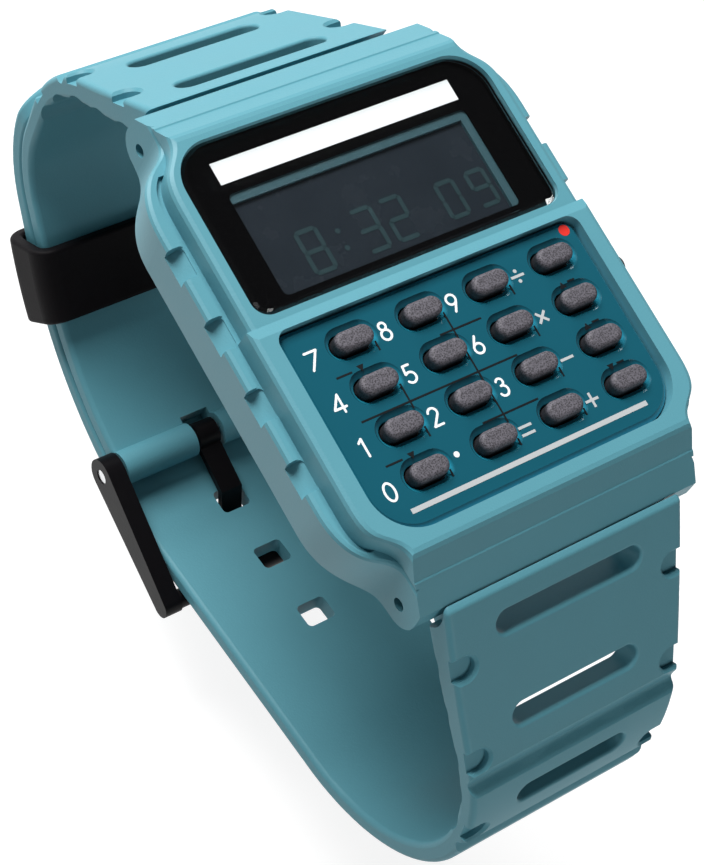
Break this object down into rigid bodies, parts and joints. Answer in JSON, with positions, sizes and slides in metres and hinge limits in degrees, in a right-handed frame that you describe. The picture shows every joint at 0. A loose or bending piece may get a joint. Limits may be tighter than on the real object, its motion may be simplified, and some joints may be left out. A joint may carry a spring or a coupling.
{
  "type": "calculator watch",
  "caption": "Wrist watch with a keypad calculator: resin case, dark display window, rubber keys, slotted resin straps, tongue buckle and keeper, shown buckled",
  "frame": {"origin": "centre of the back cover's outer face", "axes": "+X to 3 o'clock, +Y to 12 o'clock, +Z out of the dial; the buckled watch stands dial up on its clasp"},
  "size_m": [0.0356, 0.0737, 0.0506],
  "materials": {
    "case_resin": "satin moulded resin, blue-green",
    "strap_resin": "matte flexible resin, blue-green",
    "window_glass": "polished clear window",
    "mask_print": "black print under the window",
    "label_white": "bare white strip",
    "keypad_clear": "gloss tinted plate, dark blue-green",
    "key_rubber": "dark grey moulded rubber, fine grain",
    "mat_rubber": "grey silicone",
    "lcd_glass": "dark display cell",
    "holder_plastic": "black moulded plastic",
    "contact_rubber": "striped contact rubber",
    "board_green": "green resist",
    "chip_black": "black resin",
    "can_steel": "plain steel",
    "coil_copper": "enamelled copper wire",
    "capacitor_tan": "fired ceramic",
    "contact_brass": "sprung brass",
    "cover_steel": "brushed stainless steel",
    "black_rubber": "black rubber",
    "keeper_black": "satin black flexible resin",
    "buckle_black": "satin black moulded resin"
  },
  "bodies": {
    "case": {"case_shell": "case_resin", "display_glass": "window_glass", "display_mask": "mask_print", "label_strip": "label_white", "keypad_panel": "keypad_clear", "key_mat": "mat_rubber", "lcd_cell": "lcd_glass", "lcd_holder": "holder_plastic", "contact_strip_low": "contact_rubber", "contact_strip_high": "contact_rubber", "module_frame": "holder_plastic", "circuit_board": "board_green", "chip": "chip_black", "quartz_crystal": "can_steel", "buzzer_coil": "coil_copper", "capacitor": "capacitor_tan", "battery": "can_steel", "battery_clamp": "can_steel", "clamp_screw": "can_steel", "battery_contact": "contact_brass", "buzzer_disc": "contact_brass", "buzzer_spring": "contact_brass", "back_cover": "cover_steel", "cover_gasket": "black_rubber", "cover_screws": "cover_steel", "button_seal": "black_rubber", "button_spring": "cover_steel", "spring_bar_12": "cover_steel", "spring_bar_6": "cover_steel", "bar_spring_12": "cover_steel", "bar_spring_6": "cover_steel"},
    "key_7": {"key_7": "key_rubber"},
    "key_8": {"key_8": "key_rubber"},
    "key_9": {"key_9": "key_rubber"},
    "key_divide": {"key_divide": "key_rubber"},
    "key_4": {"key_4": "key_rubber"},
    "key_5": {"key_5": "key_rubber"},
    "key_6": {"key_6": "key_rubber"},
    "key_multiply": {"key_multiply": "key_rubber"},
    "key_1": {"key_1": "key_rubber"},
    "key_2": {"key_2": "key_rubber"},
    "key_3": {"key_3": "key_rubber"},
    "key_minus": {"key_minus": "key_rubber"},
    "key_0": {"key_0": "key_rubber"},
    "key_point": {"key_point": "key_rubber"},
    "key_equals": {"key_equals": "key_rubber"},
    "key_plus": {"key_plus": "key_rubber"},
    "side_button": {"side_button": "cover_steel", "button_clip": "cover_steel"},
    "strap_6": {"strap_6": "strap_resin"},
    "strap_12": {"strap_12": "strap_resin"},
    "keeper": {"keeper": "keeper_black"},
    "buckle": {"buckle_frame": "buckle_black", "buckle_bar": "cover_steel"},
    "tongue": {"buckle_tongue": "buckle_black"},
    "bar_tip_12_left": {"bar_tip_12_left": "cover_steel"},
    "bar_tip_12_right": {"bar_tip_12_right": "cover_steel"},
    "bar_tip_6_left": {"bar_tip_6_left": "cover_steel"},
    "bar_tip_6_right": {"bar_tip_6_right": "cover_steel"}
  },
  "joints": [
    {"name": "key_7_press", "type": "slide", "parent": "case", "child": "key_7", "axis": [0, 0, -1], "range_m": [0, 0.0005], "stiffness_N_per_m": 800, "springref_m": -0.0004, "deforming": ["key_mat"]},
    {"name": "key_8_press", "type": "slide", "parent": "case", "child": "key_8", "axis": [0, 0, -1], "range_m": [0, 0.0005], "stiffness_N_per_m": 800, "springref_m": -0.0004, "deforming": ["key_mat"]},
    {"name": "key_9_press", "type": "slide", "parent": "case", "child": "key_9", "axis": [0, 0, -1], "range_m": [0, 0.0005], "stiffness_N_per_m": 800, "springref_m": -0.0004, "deforming": ["key_mat"]},
    {"name": "key_divide_press", "type": "slide", "parent": "case", "child": "key_divide", "axis": [0, 0, -1], "range_m": [0, 0.0005], "stiffness_N_per_m": 800, "springref_m": -0.0004, "deforming": ["key_mat"]},
    {"name": "key_4_press", "type": "slide", "parent": "case", "child": "key_4", "axis": [0, 0, -1], "range_m": [0, 0.0005], "stiffness_N_per_m": 800, "springref_m": -0.0004, "deforming": ["key_mat"]},
    {"name": "key_5_press", "type": "slide", "parent": "case", "child": "key_5", "axis": [0, 0, -1], "range_m": [0, 0.0005], "stiffness_N_per_m": 800, "springref_m": -0.0004, "deforming": ["key_mat"]},
    {"name": "key_6_press", "type": "slide", "parent": "case", "child": "key_6", "axis": [0, 0, -1], "range_m": [0, 0.0005], "stiffness_N_per_m": 800, "springref_m": -0.0004, "deforming": ["key_mat"]},
    {"name": "key_multiply_press", "type": "slide", "parent": "case", "child": "key_multiply", "axis": [0, 0, -1], "range_m": [0, 0.0005], "stiffness_N_per_m": 800, "springref_m": -0.0004, "deforming": ["key_mat"]},
    {"name": "key_1_press", "type": "slide", "parent": "case", "child": "key_1", "axis": [0, 0, -1], "range_m": [0, 0.0005], "stiffness_N_per_m": 800, "springref_m": -0.0004, "deforming": ["key_mat"]},
    {"name": "key_2_press", "type": "slide", "parent": "case", "child": "key_2", "axis": [0, 0, -1], "range_m": [0, 0.0005], "stiffness_N_per_m": 800, "springref_m": -0.0004, "deforming": ["key_mat"]},
    {"name": "key_3_press", "type": "slide", "parent": "case", "child": "key_3", "axis": [0, 0, -1], "range_m": [0, 0.0005], "stiffness_N_per_m": 800, "springref_m": -0.0004, "deforming": ["key_mat"]},
    {"name": "key_minus_press", "type": "slide", "parent": "case", "child": "key_minus", "axis": [0, 0, -1], "range_m": [0, 0.0005], "stiffness_N_per_m": 800, "springref_m": -0.0004, "deforming": ["key_mat"]},
    {"name": "key_0_press", "type": "slide", "parent": "case", "child": "key_0", "axis": [0, 0, -1], "range_m": [0, 0.0005], "stiffness_N_per_m": 800, "springref_m": -0.0004, "deforming": ["key_mat"]},
    {"name": "key_point_press", "type": "slide", "parent": "case", "child": "key_point", "axis": [0, 0, -1], "range_m": [0, 0.0005], "stiffness_N_per_m": 800, "springref_m": -0.0004, "deforming": ["key_mat"]},
    {"name": "key_equals_press", "type": "slide", "parent": "case", "child": "key_equals", "axis": [0, 0, -1], "range_m": [0, 0.0005], "stiffness_N_per_m": 800, "springref_m": -0.0004, "deforming": ["key_mat"]},
    {"name": "key_plus_press", "type": "slide", "parent": "case", "child": "key_plus", "axis": [0, 0, -1], "range_m": [0, 0.0005], "stiffness_N_per_m": 800, "springref_m": -0.0004, "deforming": ["key_mat"]},
    {"name": "side_button_press", "type": "slide", "parent": "case", "child": "side_button", "axis": [-1, 0, 0], "range_m": [0, 0.0006], "stiffness_N_per_m": 600, "springref_m": -0.0004, "deforming": ["button_spring"]},
    {"name": "bar_tip_12_left_slide", "type": "slide", "parent": "case", "child": "bar_tip_12_left", "axis": [1, 0, 0], "range_m": [0, 0.00115], "stiffness_N_per_m": 400, "springref_m": -0.002, "deforming": ["bar_spring_12"]},
    {"name": "bar_tip_12_right_slide", "type": "slide", "parent": "case", "child": "bar_tip_12_right", "axis": [-1, 0, 0], "range_m": [0, 0.00115], "stiffness_N_per_m": 400, "springref_m": -0.002, "deforming": ["bar_spring_12"]},
    {"name": "bar_tip_6_left_slide", "type": "slide", "parent": "case", "child": "bar_tip_6_left", "axis": [1, 0, 0], "range_m": [0, 0.00115], "stiffness_N_per_m": 400, "springref_m": -0.002, "deforming": ["bar_spring_6"]},
    {"name": "bar_tip_6_right_slide", "type": "slide", "parent": "case", "child": "bar_tip_6_right", "axis": [-1, 0, 0], "range_m": [0, 0.00115], "stiffness_N_per_m": 400, "springref_m": -0.002, "deforming": ["bar_spring_6"]},
    {"name": "strap_6_swing", "type": "hinge", "parent": "case", "child": "strap_6", "pos_m": [0, -0.01976, 0.0028], "axis": [-1, 0, 0], "range_deg": [0, 23], "deforming": ["strap_6", "strap_12"]},
    {"name": "strap_12_swing", "type": "hinge", "parent": "case", "child": "strap_12", "pos_m": [0, 0.01976, 0.0028], "axis": [1, 0, 0], "range_deg": [0, 40], "deforming": ["strap_12"]},
    {"name": "buckle_swing", "type": "hinge", "parent": "strap_12", "child": "buckle", "pos_m": [0, 0.0083, -0.03872], "axis": [1, 0, 0], "range_deg": [0, 40]},
    {"name": "tongue_swing", "type": "hinge", "parent": "strap_12", "child": "tongue", "pos_m": [0, 0.0083, -0.03872], "axis": [1, 0, 0], "range_deg": [0, 60]},
    {"name": "keeper_slide", "type": "hinge", "parent": "strap_12", "child": "keeper", "pos_m": [0, 0.007, -0.0105], "axis": [-1, 0, 0], "range_deg": [0, 10]}
  ],
  "couplings": [
    {"joint": "strap_6_swing", "follows": "strap_12_swing", "ratio": 0.575},
    {"joint": "buckle_swing", "follows": "strap_12_swing", "ratio": 1},
    {"joint": "tongue_swing", "follows": "strap_12_swing", "ratio": 1.5}
  ]
}
